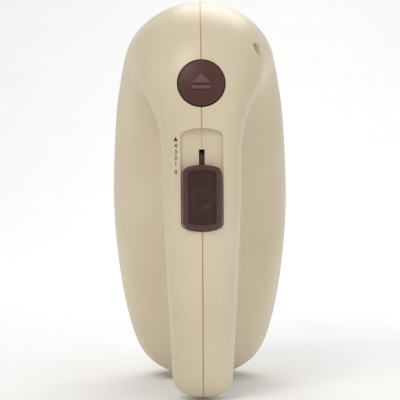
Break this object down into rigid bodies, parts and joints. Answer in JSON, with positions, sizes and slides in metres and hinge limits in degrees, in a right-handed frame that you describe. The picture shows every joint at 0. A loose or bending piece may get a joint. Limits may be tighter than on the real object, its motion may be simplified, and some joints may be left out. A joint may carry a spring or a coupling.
{
  "type": "hand mixer",
  "caption": "Hand mixer with a cream body, an open handle, brown eject button and sliding speed knob, geared motor inside and wire beaters below.",
  "frame": {"origin": "middle of the motor axis on the flat heel face that the mixer stands on", "axes": "+Z from the heel to the nose along the motor shaft, +Y from the handle towards the beaters, +X across the body"},
  "size_m": [0.086, 0.2514, 0.1822],
  "materials": {
    "cream_plastic": "fine satin moulded plastic, warm cream",
    "brown_plastic": "satin moulded plastic, dark red brown",
    "screw_steel": "zinc plated steel",
    "spring_steel": "drawn spring steel",
    "beater_chrome": "chrome plated steel",
    "core_steel": "stacked electrical steel sheets",
    "copper_winding": "enamelled copper wire",
    "shaft_steel": "ground steel",
    "bronze": "sintered bronze",
    "gear_nylon": "moulded nylon",
    "fan_plastic": "black moulded plastic",
    "frame_alloy": "die cast alloy",
    "bracket_steel": "zinc plated pressed steel",
    "carbon": "pressed carbon",
    "phenolic": "dark phenolic resin",
    "gland_rubber": "black moulded rubber",
    "capacitor_film": "dipped film capacitor"
  },
  "bodies": {
    "housing": {"base_cover": "cream_plastic", "base_screws": "screw_steel", "brush_holders": "phenolic", "brush_springs": "spring_steel", "carbon_brushes": "carbon", "cord_gland": "gland_rubber", "detent_spring": "spring_steel", "eject_spring": "spring_steel", "field_coils": "copper_winding", "frame_screws": "screw_steel", "front_bearing": "bronze", "front_bracket": "bracket_steel", "gear_frame": "frame_alloy", "housing_screws": "screw_steel", "left_handle": "cream_plastic", "left_housing": "cream_plastic", "left_nose": "cream_plastic", "motor_screws": "screw_steel", "noise_capacitor": "capacitor_film", "nose_bearing": "bronze", "rear_bearing": "bronze", "rear_bracket": "bracket_steel", "right_handle": "cream_plastic", "right_housing": "cream_plastic", "right_nose": "cream_plastic", "spindle_bushes": "bronze", "stator_core": "core_steel", "switch_body": "phenolic", "thrust_washers": "bronze"},
    "rotor": {"armature_core": "core_steel", "armature_windings": "copper_winding", "commutator": "copper_winding", "cooling_fan": "fan_plastic", "motor_shaft": "shaft_steel", "worm": "shaft_steel"},
    "speed_control": {"speed_knob": "brown_plastic", "switch_slider": "brown_plastic"},
    "ejector": {"eject_button": "brown_plastic", "ejector_rod": "gear_nylon"},
    "left_drive": {"left_spindle": "shaft_steel", "left_worm_wheel": "gear_nylon"},
    "right_drive": {"right_spindle": "shaft_steel", "right_worm_wheel": "gear_nylon"},
    "left_beater": {"left_beater_hub": "beater_chrome", "left_beater_shaft": "beater_chrome", "left_beater_strip_1": "beater_chrome", "left_beater_strip_2": "beater_chrome", "left_beater_strip_3": "beater_chrome", "left_beater_strip_4": "beater_chrome", "left_beater_tip": "beater_chrome"},
    "right_beater": {"right_beater_hub": "beater_chrome", "right_beater_shaft": "beater_chrome", "right_beater_strip_1": "beater_chrome", "right_beater_strip_2": "beater_chrome", "right_beater_strip_3": "beater_chrome", "right_beater_strip_4": "beater_chrome", "right_beater_tip": "beater_chrome"}
  },
  "joints": [
    {"name": "motor_spin", "type": "hinge", "parent": "housing", "child": "rotor", "pos_m": [0, 0, 0.09], "axis": [0, 0, 1], "continuous": true},
    {"name": "left_spindle_spin", "type": "hinge", "parent": "housing", "child": "left_drive", "pos_m": [-0.019, 0, 0.143], "axis": [0, 1, 0], "continuous": true},
    {"name": "right_spindle_spin", "type": "hinge", "parent": "housing", "child": "right_drive", "pos_m": [0.019, 0, 0.143], "axis": [0, 1, 0], "continuous": true},
    {"name": "eject_press", "type": "slide", "parent": "housing", "child": "ejector", "axis": [0, 1, 0], "range_m": [0, 0.007], "stiffness_N_per_m": 500, "deforming": ["eject_spring"]},
    {"name": "left_beater_eject", "type": "slide", "parent": "left_drive", "child": "left_beater", "axis": [0, 1, 0], "range_m": [0, 0.007]},
    {"name": "right_beater_eject", "type": "slide", "parent": "right_drive", "child": "right_beater", "axis": [0, 1, 0], "range_m": [0, 0.007]},
    {"name": "speed_slide", "type": "slide", "parent": "housing", "child": "speed_control", "axis": [0, 0, 1], "range_m": [0, 0.014]}
  ],
  "couplings": [
    {"joint": "left_spindle_spin", "follows": "motor_spin", "ratio": 0.066667},
    {"joint": "right_spindle_spin", "follows": "motor_spin", "ratio": -0.066667},
    {"joint": "left_beater_eject", "follows": "eject_press", "ratio": 1},
    {"joint": "right_beater_eject", "follows": "eject_press", "ratio": 1}
  ]
}
